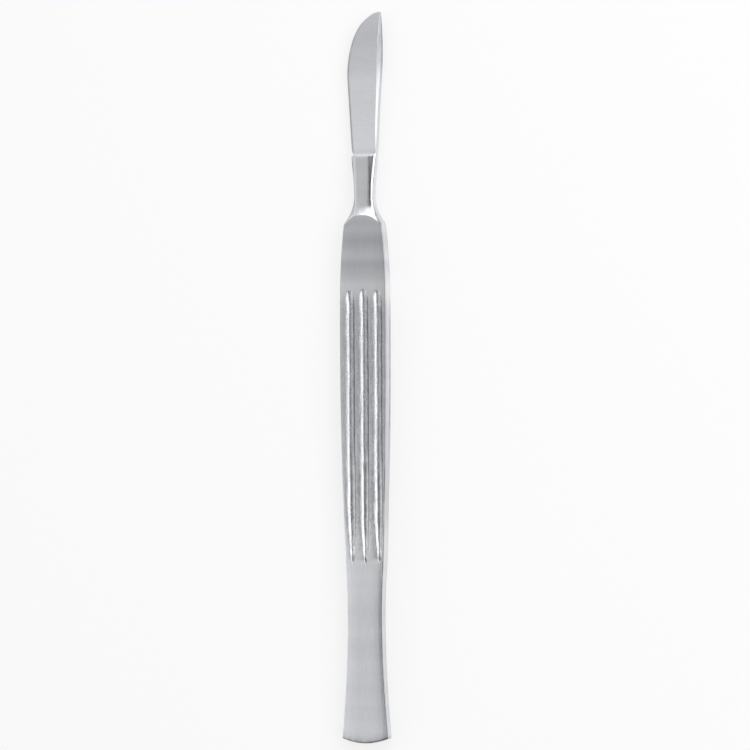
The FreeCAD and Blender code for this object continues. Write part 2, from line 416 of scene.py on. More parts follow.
for row, share in enumerate(bow_shares):
    across = handle_columns(row)
    for column, x in enumerate(across):
        bow = tail_bow * share * (x / across[-1]) ** 2
        pull(column_points(row, column), (0, bow, 0))
print("the tail's corners are", tail_bow, "mm ahead of its middle")

# %% [markdown]
# The floor and the two walls of every flute are pushed into the steel on both faces. A subdivision surface
# runs inside its cage, so the cage's floor goes a little deeper than the real one. At both tips the last
# row is bent round to close the rim, and the middle flute reaches a little further than the rest.

# %% Sink the flutes
floor_reach = (1.142, 1.087)
left_wall_reach = (0.72, 0.81)
right_wall_reach = (0.95, 0.98)
tail_steepness = 0.7
steeper_growth = (-28, -36)
tip_bends = {first_flute_row: (0.07, 0.02), last_flute_row: (-0.15, -0.04)}
middle_flute_extra = 0.3
front_shift_growth = (8, 14)
tail_shift_growth = (-20, -30)
first_rim = 4
floors = [first_rim + len(flute_places) * flute + 2 for flute in range(len(flute_middles))]

for row in range(first_flute_row, last_flute_row + 1):
    steeper = 1 + tail_steepness * ease(*steeper_growth, rows[row])
    for flute, floor in enumerate(floors):
        depth = depth_at(flute, rows[row])
        fullness = depth / flute_depth
        for side, reach in ((-1, left_wall_reach), (0, floor_reach), (1, right_wall_reach)):
            if depth > 0:
                sink(row, [floor + side], depth * steeper * (reach[0] + (reach[1] - reach[0]) * fullness))
        if row in tip_bends:
            rim_bend, wall_bend = tip_bends[row]
            for side, bend in ((-2, rim_bend), (-1, wall_bend), (1, wall_bend), (2, rim_bend)):
                pull([cage[row, floor + side], cage[row, mirrored(floor + side)]], (0, bend, 0))

middle_flute = range(floors[1] - 2, floors[1] + 3)
for row in range(first_flute_row - 1, last_flute_row + 2):
    shift = middle_flute_extra * (ease(*front_shift_growth, rows[row]) - ease(*tail_shift_growth, rows[row]))
    if shift != 0:
        upper = [cage[row, place] for place in middle_flute]
        lower = [cage[row, mirrored(place)] for place in middle_flute]
        pull(upper + lower, (0, shift, 0))
bpy.ops.object.mode_set(mode="OBJECT")
print("flutes run from", flute_tail_y, "to", flute_front_y)

# %% [markdown]
# Ahead of the handle the steel is round, not flat. Its sections are ovals that are a little square. Behind
# the narrowest place of the neck they flare out fast, and where the flare comes through the handle's faces
# it leaves a round arch. From here each ring is set out point by point on a curve, as on a template.

# %% Sections of the neck and the bar that the blade is ground from
past_tip_y = 76.0
left_stations = [
    (neck_y, -2.0, 0),
    (heel_y, -2.7075, -0.12),
    (belly_y, -3.97, -0.025),
    (past_tip_y, -3.97, 0),
]
right_stations = [
    (neck_y, 2.2, 0),
    (heel_y, 2.8, 0.087),
    (56.8, 3.45, 0.06),
    (66.7, 3.97, 0.006),
    (past_tip_y, 3.51, -0.08),
]
through_stations = [
    (neck_y, 1.5, 0),
    (heel_y, 1.25, -0.029),
    (56.8, 1.2, -0.001),
    (66.7, 1.03, -0.035),
    (past_tip_y, 0.25, -0.12),
]
flare_across = 7.2
flare_through = 7.27
flare_through_start = 1.1
neck_squareness = (8, 3.8)
blade_squareness = 2.6
shoulder_squareness = 2.2
ground_growth = (heel_y - 1, heel_y + 6)


def oval_at(y):
    """Middle, half width and half thickness of the bar's section at y, and its squareness on both sides."""
    back = max(0, neck_y - y)
    back_through = max(0, back - flare_through_start)
    wider = flare_across - math.sqrt(flare_across**2 - back**2)
    thicker = flare_through - math.sqrt(flare_through**2 - back_through**2)
    left = smooth_value(left_stations, y) - wider
    right = smooth_value(right_stations, y) + wider
    flared = min(1, back / (neck_y - shoulder_y))
    ground_share = ease(*ground_growth, y)
    squareness = []
    for at_neck in neck_squareness:
        change = flared * (shoulder_squareness - at_neck) + ground_share * (blade_squareness - at_neck)
        squareness.append(at_neck + change)
    return (left + right) / 2, (right - left) / 2, smooth_value(through_stations, y) + thicker, squareness


def on_oval(y, turn):
    """The point of the section at y in the direction of the turn: 0 is right, a quarter turn is up."""
    middle, across, through, squareness = oval_at(y)
    power = 2 / squareness[math.cos(turn) > 0]
    x = middle + across * math.copysign(abs(math.cos(turn)) ** power, math.cos(turn))
    return Vector((x, y, through * abs(math.sin(turn)) ** power))


def turn_of(x, z, y):
    """The turn of the section at y that passes through the direction of (x, z)."""
    middle, across, through, squareness = oval_at(y)
    part_x = (x - middle) / across
    part_z = z / through
    power = squareness[x > middle] / 2
    return math.atan2(part_z**power, math.copysign(abs(part_x) ** power, part_x))


def oval_height(x, y):
    """Half the thickness of the bar at x and y, or 0 outside it."""
    middle, across, through, squareness = oval_at(y)
    part = min(1, abs((x - middle) / across))
    power = squareness[x > middle]
    return through * (1 - part**power) ** (1 / power)


print("neck is", 2 * round(oval_at(neck_y)[1], 2), "wide and", 2 * oval_at(neck_y)[2], "thick")

# %% [markdown]
# The arch is the ring where the handle's own surface meets the flare. No formula gives it, so on each
# column its place along the handle is searched for by halving. One ring just behind it holds the handle's
# faces flat, and the rings after it run down the flare to the narrowest place of the neck.

# %% The arch of the shoulder, and the rings of the flare
side_place_heights = {0: 0.0, 1: handle_half_thickness - side_cut}
arch_search = (30.8, 36.5)
halving_count = 40


def halve(low, high, test):
    """The value between low and high where the test turns from true to false."""
    for _ in range(halving_count):
        middle = (low + high) / 2
        if test(middle):
            low = middle
        else:
            high = middle
    return low


def handle_point(place, y):
    """A point of the handle's plain section at y, for a place on the upper half of the ring."""
    width = half_width(y)
    if place < 2:
        return Vector((-width, y, side_place_heights[place]))
    if place > right_middle - 2:
        return Vector((width, y, side_place_heights[right_middle - place]))
    x = columns[place - 2] * width / box_half_width
    if place == 3:
        x = -width + margin
    if place == right_middle - 3:
        x = width - margin
    return Vector((x, y, handle_half_thickness))


def flare_clears(point):
    """True where a point of the handle's surface is inside the flared bar."""
    middle, across, through, squareness = oval_at(point.y)
    power = squareness[point.x > middle]
    return abs((point.x - middle) / across) ** power + (point.z / through) ** power < 1


arch = []
for place in range(right_middle + 1):
    y = halve(*arch_search, lambda y: flare_clears(handle_point(place, y)))
    arch.append(handle_point(place, y))

behind_arch = 0.5


def set_ring(row, points):
    """Sets one ring from its upper half's points, left to right, then from their mirror image below."""
    mesh = scalpel.data
    for place, point in enumerate(points):
        up = Vector((point.x, point.y, middle_z + point.z)) * mm
        down = Vector((point.x, point.y, middle_z - point.z)) * mm
        mesh.vertices[cage[row, place]].co = up
        mesh.vertices[cage[row, mirrored(place)]].co = down


row = len(handle_rows)
set_ring(row, [handle_point(place, point.y - behind_arch) for place, point in enumerate(arch)])
arch_row = row + 1
even_turns = [math.pi * (1 - place / right_middle) for place in range(right_middle + 1)]
for part in ramp_parts:
    row += 1
    ring = []
    for place, start in enumerate(arch):
        y = start.y + (neck_y - start.y) * part
        start_turn = turn_of(start.x, start.z, start.y)
        ring.append(on_oval(y, start_turn + (even_turns[place] - start_turn) * part))
    set_ring(row, arch if part == 0 else ring)
print("the arch rises from", round(min(p.y for p in arch), 2), "to", round(max(p.y for p in arch), 2))

# %% [markdown]
# The blade is a wedge. On each side a flat flank runs from a fine bevel at the cutting edge up to a line
# near the back, and past that line the steel keeps the bar's round back. The cutting edge is straight at
# the heel and then follows a quarter of an ellipse round to the tip, a little straightened near its end,
# and there the rows fan out.

# %% The ground blade's flanks, back and edge
heel_edge_x = -2.62
belly_edge_x = -3.62
bevel_width = 0.35
land_half = 0.02
bevel_half = 0.127
grind_half = 0.88
grind_x_at_heel = 2.35
grind_x_at_tip = 2.75
back_parts = (0.62, 0.93)
back_search = (0.05, 9)
grind_search_share = 0.4
most_bevel_share = 0.3


def flank_slope(edge_x, edge_y):
    """How fast the flank rises from the bevel towards the back, for a row that starts at this edge point."""
    line_x = grind_x_at_heel + (edge_y - heel_y) / (tip_y - heel_y) * (grind_x_at_tip - grind_x_at_heel)
    return (grind_half - bevel_half) / (line_x - edge_x - bevel_width)


def flank_height(distance, slope):
    """Half the thickness of the ground wedge at a distance in from the edge."""
    if distance < bevel_width:
        return land_half + distance / bevel_width * (bevel_half - land_half)
    return bevel_half + (distance - bevel_width) * slope


def blade_ring(edge, far, slope):
    """The upper half of a blade ring, from the edge towards a point past the back."""
    along = (far - edge).normalized()

    def right_of(distance):
        return edge + along * distance

    back = halve(*back_search, lambda d: right_of(d).x < sum(oval_at(right_of(d).y)[:2]))
    start = back * grind_search_share
    grind = halve(start, back, lambda d: oval_height(right_of(d).x, right_of(d).y) > flank_height(d, slope))
    bevel = min(bevel_width, grind * most_bevel_share)
    points = [edge.copy()]
    steps = right_middle - 4
    for step in range(steps + 1):
        distance = bevel + (grind - bevel) * step / steps
        point = right_of(distance)
        point.z = flank_height(distance, slope)
        points.append(point)
    for part in back_parts:
        point = right_of(grind + (back - grind) * part)
        point.z = oval_height(point.x, point.y)
        points.append(point)
    points.append(right_of(back))
    return points


tip_edge_x = 3.12
tip_straightening = 0.3
straightened_from = 45
fan_x = 5.97
fan_share = 0.6
fan_share_at_tip = 0.93


def heel_edge(y):
    """The straight part of the cutting edge at y."""
    return Vector((heel_edge_x + (y - heel_y) / (belly_y - heel_y) * (belly_edge_x - heel_edge_x), y, 0))


first_blade_row = arch_row + len(ramp_parts) + len(neck_rows) + plunge_row_count
row = first_blade_row
for y in blade_rows:
    edge = heel_edge(y)
    set_ring(row, blade_ring(edge, Vector((fan_x, y, 0)), flank_slope(edge.x, y)))
    row += 1
belly_slope = flank_slope(belly_edge_x, belly_y)
for turn in belly_turns:
    angle = math.radians(turn)
    edge_y = belly_y + (tip_y - belly_y) * math.sin(angle)
    if turn > straightened_from:
        edge_y -= tip_straightening * math.sin(4 * (angle - math.radians(straightened_from)))
    edge = Vector((tip_edge_x - (tip_edge_x - belly_edge_x) * math.cos(angle), edge_y, 0))
    share = fan_share + (fan_share_at_tip - fan_share) * (turn / 90) ** 3
    far = Vector((fan_x, belly_y + share * (edge_y - belly_y), 0))
    tip_ring = blade_ring(edge, far, belly_slope)
    set_ring(row, tip_ring)
    row += 1
last_row = row - 1
for (row, column, level), index in end_points.items():
    if row == last_row:
        point = tip_ring[2 + column]
        part = (level - middle_level) / 2
        scalpel.data.vertices[index].co = Vector((point.x, point.y, middle_z + point.z * part)) * mm
print("blade rows:", last_row - first_blade_row + 1, "and the grind line is", 2 * grind_half, "thick")

# %% [markdown]
# Between the neck and the flanks the wheel leaves a small hollow, like a step with a rounded foot. It runs
# out sideways where the flank comes up to the neck's oval. Three rings make it: the rim, the foot, and one
# between them, set beyond the curve because the rounded surface doesn't reach its cage.
# The neck's rings lead from the flare's evenly spread points to those of the hollow's rim.

# %% The hollow at the heel of the blade, and the neck
hollow_radius = 0.9
hollow_rim_x = (-2.66, -2.44)
edge_rim_share = 0.2
back_rim_share = 0.55
heel_ring = blade_ring(heel_edge(heel_y), Vector((fan_x, heel_y, 0)), flank_slope(heel_edge_x, heel_y))
rim_x = [point.x for point in heel_ring]
rim_x[0:3] = [smooth_value(left_stations, heel_y), *hollow_rim_x]


def hollow_points(place):
    """Rim, bend and foot of the hollow at one place of the ring."""
    x = rim_x[place]
    foot = heel_ring[place].copy()
    foot.y = heel_y + hollow_radius
    on_flank = 0 < place < right_middle - 3
    rise = max(0, min(hollow_radius, oval_height(x, heel_y) - foot.z)) if on_flank else 0
    sweep = math.acos(1 - rise / hollow_radius)
    rim_y = heel_y + hollow_radius * (1 - math.sin(sweep))
    if place > right_middle - 4:
        rim_y = heel_y + hollow_radius * back_rim_share
    if place == 0:
        rim_y = heel_y + hollow_radius * edge_rim_share
    rim = Vector((x, rim_y, oval_height(x, rim_y)))
    half = sweep / 2
    bend_y = heel_y + hollow_radius * (1 - math.sin(half))
    bend = Vector(((x + foot.x) / 2, bend_y, foot.z + hollow_radius * (1 - math.cos(half))))
    if rise == 0:
        bend = (rim + foot) / 2
    else:
        bend = (bend * 6 - rim - foot) / 4
    return rim, bend, foot


hollow = [hollow_points(place) for place in range(right_middle + 1)]
hollow_row = first_blade_row - plunge_row_count
for step in range(plunge_row_count):
    set_ring(hollow_row + step, [points[step] for points in hollow])

rim_turns = [turn_of(rim.x, rim.z, rim.y) for rim, _, _ in hollow]
first_neck_row = arch_row + len(ramp_parts)
for step, y in enumerate(neck_rows):
    ring = []
    share = ease(neck_y, heel_y, y)
    for place, (rim, _, _) in enumerate(hollow):
        turn = even_turns[place] + (rim_turns[place] - even_turns[place]) * share
        ring.append(on_oval(y + (rim.y - heel_y) * share, turn))
    set_ring(first_neck_row + step, ring)
print("the hollow is", hollow_radius, "mm in radius")

# %% [markdown]
# A subdivision surface rounds everything, and creases hold the lines that a wheel left sharp: the rims of
# the flutes, the arch, the rim of the hollow, the grind line, the bevel and the cutting edge.

# %% Creases
sharp = 1.0
rim_crease = 0.6
bevel_crease = 0.5
edge_of = {tuple(sorted(edge.vertices)): edge.index for edge in scalpel.data.edges}
crease_values = scalpel.data.attributes.new("crease_edge", "FLOAT", "EDGE").data


def crease(start, end, value):
    """Creases the cage's edge between two addresses, and the same edge on the lower face."""
    for sign in (1, -1):
        keys = [cage[row, (sign * place) % ring_size] for row, place in (start, end)]
        crease_values[edge_of[tuple(sorted(keys))]].value = value


for floor in floors:
    for row in range(first_flute_row, last_flute_row):
        for rim in (floor - 2, floor + 2):
            crease((row, rim), (row + 1, rim), sharp)
    for row in (first_flute_row, last_flute_row):
        for place in range(floor - 2, floor + 2):
            crease((row, place), (row, place + 1), sharp)
for place in range(right_middle):
    crease((arch_row, place), (arch_row, place + 1), sharp)
for place in range(1, right_middle - 3):
    crease((hollow_row, place), (hollow_row, place + 1), rim_crease)
for row in range(hollow_row + 2, last_row):
    crease((row, 0), (row + 1, 0), sharp)
    crease((row, 1), (row + 1, 1), bevel_crease)
    crease((row, right_middle - 3), (row + 1, right_middle - 3), rim_crease)
print("creased", sum(1 for value in crease_values if value.value > 0), "edges")

# %% [markdown]
# Three marks are painted on the cage's points: a painted highlight, which makes the steel lighter where it
# catches light, the wheel's streaks, and painted shade, which darkens it where it lies in shade or mirrors
# something dark. The streaks fill the flutes and cover the narrow lands between them, and the cutting edge
# has the streaks of the hone.

# %% Painted highlights on the edges, and wheel marks
painted_highlight = {}
ground = {}
left_highlight_growth = (0, -20)
side_highlight_growth = (-15, 0)
flute_rows = range(first_flute_row, last_flute_row + 1)
flank_rows = range(hollow_row + 2, last_row + 1)


def handle_y(row):
    """Where a row of the handle lies, with the shoulder's own row at its end."""
    return handle_rows[min(row, len(handle_rows) - 1)]


# Painted highlight: the left edge behind the middle, the right side ahead of it, the right edges of the
# faces, the arch, the hollow's rim and the grind line are painted lighter, and the steel is made a little
# smoother there.
for row in range(arch_row):
    painted_highlight[row, 2] = ease(*left_highlight_growth, handle_y(row))
    painted_highlight[row, right_middle - 2] = 0.5
    for place in (right_middle - 1, right_middle):
        painted_highlight[row, place] = 0.7 * ease(*side_highlight_growth, handle_y(row))
for place in range(right_middle + 1):
    painted_highlight[arch_row, place] = 0.7
    painted_highlight[hollow_row, place] = 0.4
for row in flank_rows:
    painted_highlight[row, right_middle - 3] = 0.5

ground_lands = (-35, 15.2)

for row in flute_rows:
    for floor in floors:
        for side in (-1, 0, 1):
            ground[row, floor + side] = 1
    if ground_lands[0] < rows[row] < ground_lands[1]:
        for place in range(floors[0] - 2, floors[-1] + 3):
            ground[row, place] = 1
for row in flank_rows:
    ground[row, 0] = 1
print(len(painted_highlight), "worn and", len(ground), "ground addresses")

# %% [markdown]
# Painted shade lies along the edges of the handle's faces and at its tail end. On the flare it follows a line
# that wanders inwards from ring to ring, where the right side turns down. It also darkens the left side of
# the neck, the left of the flare, the cutting edge and the back of the blade near the tip.

# %% Painted shade on the handle, the neck and the blade
painted_shade = {}
left_shade_growth = (-20, 0)
right_shade_growth = (-15, -22)
flare_trail = [19.6, 18.8, 18, 16.8, 15, 14.3]
trail_width = 1.5
trail_start = 11
left_side_shade = (0.1, 0.3, 0.5)
back_shade_growth = (last_row - 14, last_row - 8)

for row in range(arch_row):
    forward = ease(*left_shade_growth, handle_y(row))
    painted_shade[row, 1] = 0.15 * forward
    painted_shade[row, 2] = 0.6 * forward
    painted_shade[row, right_middle - 2] = 0.5 + 0.25 * ease(*right_shade_growth, handle_y(row))
for place in range(right_middle + 1):
    painted_shade[0, place] = 0.8
for place in range(3, right_middle - 2):
    painted_shade[1, place] = 0.3

for row in range(arch_row, hollow_row + 1):
    trail = flare_trail[min(row - arch_row, len(flare_trail) - 1)]
    for place in range(trail_start, right_middle - 1):
        painted_shade[row, place] = max(0, 1 - abs(place - trail) / trail_width)
    for place, amount in enumerate(left_side_shade):
        painted_shade[row, place] = amount
    if 0 < row - arch_row < len(ramp_parts) - 1:
        for place in (3, 4, 5, 6):
            painted_shade[row, place] = 0.4
for row in flank_rows:
    painted_shade[row, 0] = 0.4
    painted_shade[row, 1] = 0.15
    for place in (right_middle - 2, right_middle - 1, right_middle):
        painted_shade[row, place] = 0.5 * ease(*back_shade_growth, row)
print(len(painted_shade), "soiled addresses outside the flutes")

# %% [markdown]
# In the flutes painted shade lies on the right walls in front, and further back on the floors and the left
# rims. It fills the small scoops at the tail. Then the marks become attributes of the mesh, the same on both
# faces. Only the painted shade along the foot of the right side, which stands for the floor's shadow mirrored
# in the lower edge, is on the lower half alone.

# %% Painted shade in the flutes, and the marks stored
front_rim_shade = (17, 15)
rear_rim_shade = (-17, -21)
rim_shade_end = -37
wall_shade_fade = (-12, -22)
wall_shade_front = (17.9, 15.7)
floor_shade_growth = (-10, -22)
floor_shade_end = (-34, -31)

# Painted shade in the flutes' recesses: on the left rims, the right walls and the floors.
for row in flute_rows:
    y = rows[row]
    rim_shade = 0.2 * ease(*front_rim_shade, y) + 0.4 * ease(*rear_rim_shade, y)
    wall_shade = (0.7 - 0.6 * ease(*wall_shade_fade, y)) * ease(*wall_shade_front, y)
    flute_floor_shade = 0.8 * ease(*floor_shade_growth, y) * ease(*floor_shade_end, y)
    for floor in floors:
        painted_shade[row, floor - 2] = rim_shade if y > rim_shade_end else 0
        painted_shade[row, floor + 1] = wall_shade
        painted_shade[row, floor] = flute_floor_shade
for row in (first_flute_row + 1, first_flute_row + 2):
    for floor in floors:
        painted_shade[row, floor - 1] = 0.8
        painted_shade[row, floor] = 0.8

foot_painted_shade = 0.9
foot_tail_end = (-22, -6)
foot_front_end = (18, 8)


def mark(name, amounts):
    """Stores one mark on the cage's points, from the amount at each address, on both faces."""
    values = scalpel.data.attributes.new(name, "FLOAT", "POINT").data
    for (row, place), amount in amounts.items():
        values[cage[row, place]].value = amount
        values[cage[row, mirrored(place)]].value = amount


mark("painted_highlights", painted_highlight)
mark("wheel_marks", ground)
mark("painted_shade", painted_shade)
# Painted shadow along the foot of the right side, on the lower half only.
painted_shade_values = scalpel.data.attributes["painted_shade"].data
for row in range(arch_row):
    amount = foot_painted_shade * ease(*foot_tail_end, handle_y(row)) * ease(*foot_front_end, handle_y(row))
    painted_shade_values[cage[row, right_middle + 1]].value = amount
print("stored", len(painted_highlight) + len(ground) + len(painted_shade), "amounts")

# %% [markdown]
# Steel is never one flat grey. Noise textures give it broad bands, a fine grain and the streaks of the last
# wheel. They read the object's own coordinates, so that they stay on the steel as it turns.

# %% Helpers for the finishes
def add_node(material, kind, inputs=None, **settings):
    """Adds a node with its settings, and with a value or another node's output at each of these inputs."""
    node = material.node_tree.nodes.new("ShaderNode" + kind)
    for name, value in settings.items():
        setattr(node, name, value)
    for name, value in (inputs or {}).items():
        if isinstance(value, bpy.types.NodeSocket):
            material.node_tree.links.new(value, node.inputs[name])
        else:
            node.inputs[name].default_value = value
    return node


def noise(material, stretch, detail, roughness):
    """A noise over the object's own coordinates, where stretch is how many grains fit in a metre each way."""
    place = add_node(material, "TexCoord").outputs["Object"]
    vector = add_node(material, "Mapping", {"Scale": stretch, "Vector": place}).outputs["Vector"]
    inputs = {"Scale": 1, "Detail": detail, "Roughness": roughness, "Vector": vector}
    return add_node(material, "TexNoise", inputs).outputs["Fac"]


def stretched(material, value, low, high, to_low, to_high):
    """The value between low and high, stretched to another range."""
    inputs = {"Value": value, "From Min": low, "From Max": high, "To Min": to_low, "To Max": to_high}
    return add_node(material, "MapRange", inputs).outputs["Result"]


def combined(material, operation, first, second):
    """Two values put together by a sum or a product."""
    return add_node(material, "Math", {0: first, 1: second}, operation=operation).outputs["Value"]


def along(material, value, low, high, stations):
    """A smooth curve over the value, from low to high, through (place, amount) stations."""
    ramp = add_node(material, "ValToRGB", {"Fac": stretched(material, value, low, high, 0, 1)})
    ramp.color_ramp.interpolation = "EASE"
    for index, (place, amount) in enumerate(stations):
        position = (place - low) / (high - low)
        if index < 2:
            stop = ramp.color_ramp.elements[index]
            stop.position = position
        else:
            stop = ramp.color_ramp.elements.new(position)
        stop.color = (amount, amount, amount, 1)
    return ramp.outputs["Color"]


def marked(material, name, breakup):
    """One of the marks, broken up by a noise."""
    amount = add_node(material, "Attribute", attribute_name=name).outputs["Fac"]
    return combined(material, "MULTIPLY", amount, breakup)


def bumped(material, height, distance, below=None):
    """The surface normal bumped by a height of that many millimetres, on top of another bump."""
    inputs = {"Strength": 1, "Distance": distance * mm, "Height": height}
    if below is not None:
        inputs["Normal"] = below
    return add_node(material, "Bump", inputs).outputs["Normal"]


def mixed(material, factor, first, second):
    """A mix of two colours."""
    inputs = {"Factor": factor, "A": first, "B": second}
    return add_node(material, "Mix", inputs, data_type="RGBA").outputs["Result"]


# %% [markdown]
# All the finishes share one recipe. A tone between dark and light steel changes along the object, as
# painted light and shade, and bands, specks, lines, wheel marks and the painted highlight are added to it.
# Painted shade darkens what comes out. The same noises also vary the roughness and bump the surface, so that
# colour and relief belong together.

# %% The recipe for steel
dark_steel = (0.565, 0.575, 0.6, 1)
light_steel = (0.84, 0.85, 0.875, 1)
# The colour that the painted shade mixes in.
painted_shade_colour = (0.2, 0.2, 0.205, 1)
band_scale = (25, 260, 25)
speck_scale = (4500, 3600, 4500)
breakup_scale = (900, 500, 900)
noise_low = 0.3
noise_high = 0.7
speck_tone = 0.15
line_tone = 0.06
ground_speck_tone = 0.7
highlight_tone = 0.3
speck_roughness = 0.04
band_roughness = 0.02
highlight_smoothing = -0.07


def swing(material, value, amount, middle=0):
    """A noise, swinging by the amount to both sides of the middle."""
    return stretched(material, value, noise_low, noise_high, middle - amount, middle + amount)


def steel(name, painted_shading, streaks, band_tone=0.05, roughness=0.2, grain_depth=0.01, streak_tone=0.1,
          streak_depth=0.01):
    """Steel with painted shading along the object, patches, a fine grain, streaks, painted highlight and
    shade.
    """
    material = bpy.data.materials.new(name)
    material.use_nodes = True
    links = material.node_tree.links
    shader = material.node_tree.nodes["Principled BSDF"]
    shader.inputs["Metallic"].default_value = 1

    place = add_node(material, "TexCoord").outputs["Object"]
    split = add_node(material, "SeparateXYZ", {"Vector": place})
    tone = along(material, split.outputs["Y"], tail_y * mm, tip_y * mm, [(y * mm, t) for y, t in painted_shading])
    bands = noise(material, band_scale, 2, 0.5)
    specks = noise(material, speck_scale, 4, 0.7)
    lines = noise(material, streaks, 3, 0.6)
    breakup = stretched(material, noise(material, breakup_scale, 3, 0.6), 0.3, 0.6, 0.35, 1)
    # The painted highlight and painted shade marks, broken up by a noise.
    highlighted = marked(material, "painted_highlights", breakup)
    shaded = marked(material, "painted_shade", breakup)

    changes = [
        swing(material, bands, band_tone),
        swing(material, specks, speck_tone),
        swing(material, lines, line_tone),
        marked(material, "wheel_marks", swing(material, lines, streak_tone)),
        marked(material, "wheel_marks", swing(material, specks, ground_speck_tone)),
        stretched(material, highlighted, 0, 1, 0, highlight_tone),
    ]
    for change in changes:
        tone = combined(material, "ADD", tone, change)
    clean = mixed(material, tone, dark_steel, light_steel)
    links.new(mixed(material, shaded, clean, painted_shade_colour), shader.inputs["Base Color"])

    rough = swing(material, specks, speck_roughness, roughness)
    rough = combined(material, "ADD", rough, swing(material, bands, band_roughness))
    rough = combined(material, "ADD", rough, stretched(material, highlighted, 0, 1, 0, highlight_smoothing))
    links.new(rough, shader.inputs["Roughness"])
    grained = bumped(material, specks, grain_depth)
    links.new(bumped(material, lines, streak_depth, grained), shader.inputs["Normal"])
    scalpel.data.materials.append(material)


print("specks are about", round(1000 / speck_scale[0], 2), "mm across")

# %% [markdown]
# The handle and neck are satin, the flutes are left as the wheel cut them, the flanks are fine ground
# across, the back of the blade is duller, and the bevel is honed. Each has its own painted light and shade
# along the object: lighter and darker bands that stand for the brighter and darker parts of the room that
# the steel mirrors. A finish is given to areas of the cage, and the rounded faces inherit it.

# %% Five finishes, and the faces that have them
# Painted light and shade along the object, as (place, tone) stations.
satin_painted_shading = [(-75, 0.5), (-66, 0.36), (-50, 0.38), (-40, 0.52), (-34, 0.68), (-26, 0.15), (-8, 0.2)]
satin_painted_shading += [(12, 0.2), (15, 0.35), (16.8, 0.8), (19, 0.85), (21, 0.5), (23.3, 0.08), (25, 0.42)]
satin_painted_shading += [(28.2, 0.06), (31, 0.35), (33, 0.5), (36, 0.75), (46, 0.8)]
flute_painted_shading = [(-75, 0.6), (-33, 0.8), (-24, 0.8), (-12, 0.1), (12, 0.1), (18, 0.4)]
flank_painted_shading = [(45.5, 0.4), (47.5, 0.7), (60, 0.6), (66, 0.3), (70, 0.2), (75, 0.35)]
back_painted_shading = [(44, 0.8), (58, 0.6), (68, 0), (75, 0)]
edge_tones = [(44, 0), (75, 0)]
satin = {"band_tone": 0.12, "grain_depth": 0.008, "streak_tone": 0.35, "streak_depth": 0.007}
coarse = {"band_tone": 0.12, "grain_depth": 0.03, "streak_tone": 0.45, "streak_depth": 0.04}
steel("satin_steel", satin_painted_shading, (3200, 240, 3200), **satin)
steel("ground_flute_steel", flute_painted_shading, (3600, 260, 3600), **coarse)
steel("ground_flank_steel", flank_painted_shading, (400, 3000, 400), grain_depth=0.007, streak_depth=0.007)
steel("dull_back_steel", back_painted_shading, (3000, 400, 3000), roughness=0.46)
steel("honed_edge_steel", edge_tones, (900, 4000, 900), roughness=0.35, streak_tone=0.3)

def faces_between(first_row, end_row, first_place, end_place):
    """The cage's faces between these rows and places, on both faces of the scalpel."""
    wanted = set()
    for row in range(first_row, end_row + 1):
        for place in range(first_place, end_place + 1):
            wanted.add(cage[row, place])
            wanted.add(cage[row, mirrored(place)])
    return [face for face in scalpel.data.polygons if wanted.issuperset(face.vertices)]


flute_finish, flank_finish, back_finish, edge_finish = range(1, 5)
grind_place = right_middle - 3
finish_areas = [(flute_finish, first_flute_row, last_flute_row, floor - 2, floor + 2) for floor in floors]
finish_areas.append((flank_finish, hollow_row, last_row, 0, grind_place))
finish_areas.append((back_finish, hollow_row, last_row, grind_place, right_middle))
finish_areas.append((edge_finish, hollow_row + 2, last_row, 0, 1))
for finish, *area in finish_areas:
    for face in faces_between(*area):
        face.material_index = finish
print(len(scalpel.data.materials), "finishes on", len(finish_areas), "areas")

# %% [markdown]
# Two levels are enough, because the cage has its rows where the shape turns. The modifier is applied, so
# that the piece is a plain mesh, and shading is smooth except across sharp lines.

# %% Round it with a subdivision surface
rounding_levels = 2
smooth_angle = math.radians(17)
rounding = scalpel.modifiers.new("rounding", "SUBSURF")
rounding.levels = rounding_levels
rounding.render_levels = rounding_levels
bpy.ops.object.select_all(action="DESELECT")
scalpel.select_set(True)
bpy.context.view_layer.objects.active = scalpel
bpy.ops.object.modifier_apply(modifier="rounding")
bpy.ops.object.shade_smooth_by_angle(angle=smooth_angle)
triangle_count = sum(len(face.vertices) - 2 for face in scalpel.data.polygons)
print(triangle_count, "triangles after rounding")

# %% [markdown]
# The scalpel is one rigid piece, so it rides on the one body there is and stands for the one node.

# %% The piece takes the node's place
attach(scalpel, "root")
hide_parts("scalpel")
print(scalpel.name, "stands for the scalpel")

# %% [markdown]
# The scalpel lies on a white floor. It glows a little, but only for what looks at it or mirrors it, so that
# it looks white without more light on the steel, and the scalpel's shadow still shows.

# %% Floor
floor_size = 3
floor_white = 0.97
floor_roughness = 0.9
glow_amount = 0.7
bpy.ops.mesh.primitive_plane_add(size=floor_size, location=(0, 0, 0))
floor_plane = bpy.context.object
floor_plane.name = "floor"
floor_material = bpy.data.materials.new("white_floor")
floor_material.use_nodes = True
floor_nodes = floor_material.node_tree.nodes
floor_shader = floor_nodes["Principled BSDF"]
floor_shader.inputs["Base Color"].default_value = (floor_white, floor_white, floor_white, 1)
floor_shader.inputs["Roughness"].default_value = floor_roughness
floor_glow = add_node(floor_material, "Emission", {"Color": (1, 1, 1, 1), "Strength": 1})
ray = add_node(floor_material, "LightPath").outputs
seen = stretched(floor_material, ray["Is Camera Ray"], 0, 1, 0, glow_amount)
reflected = stretched(floor_material, ray["Is Glossy Ray"], 0, 1, 0, glow_amount)
glow_share = combined(floor_material, "ADD", seen, reflected)
floor_inputs = {"Fac": glow_share, 1: floor_shader.outputs["BSDF"], 2: floor_glow.outputs["Emission"]}
floor_mix = add_node(floor_material, "MixShader", floor_inputs).outputs["Shader"]
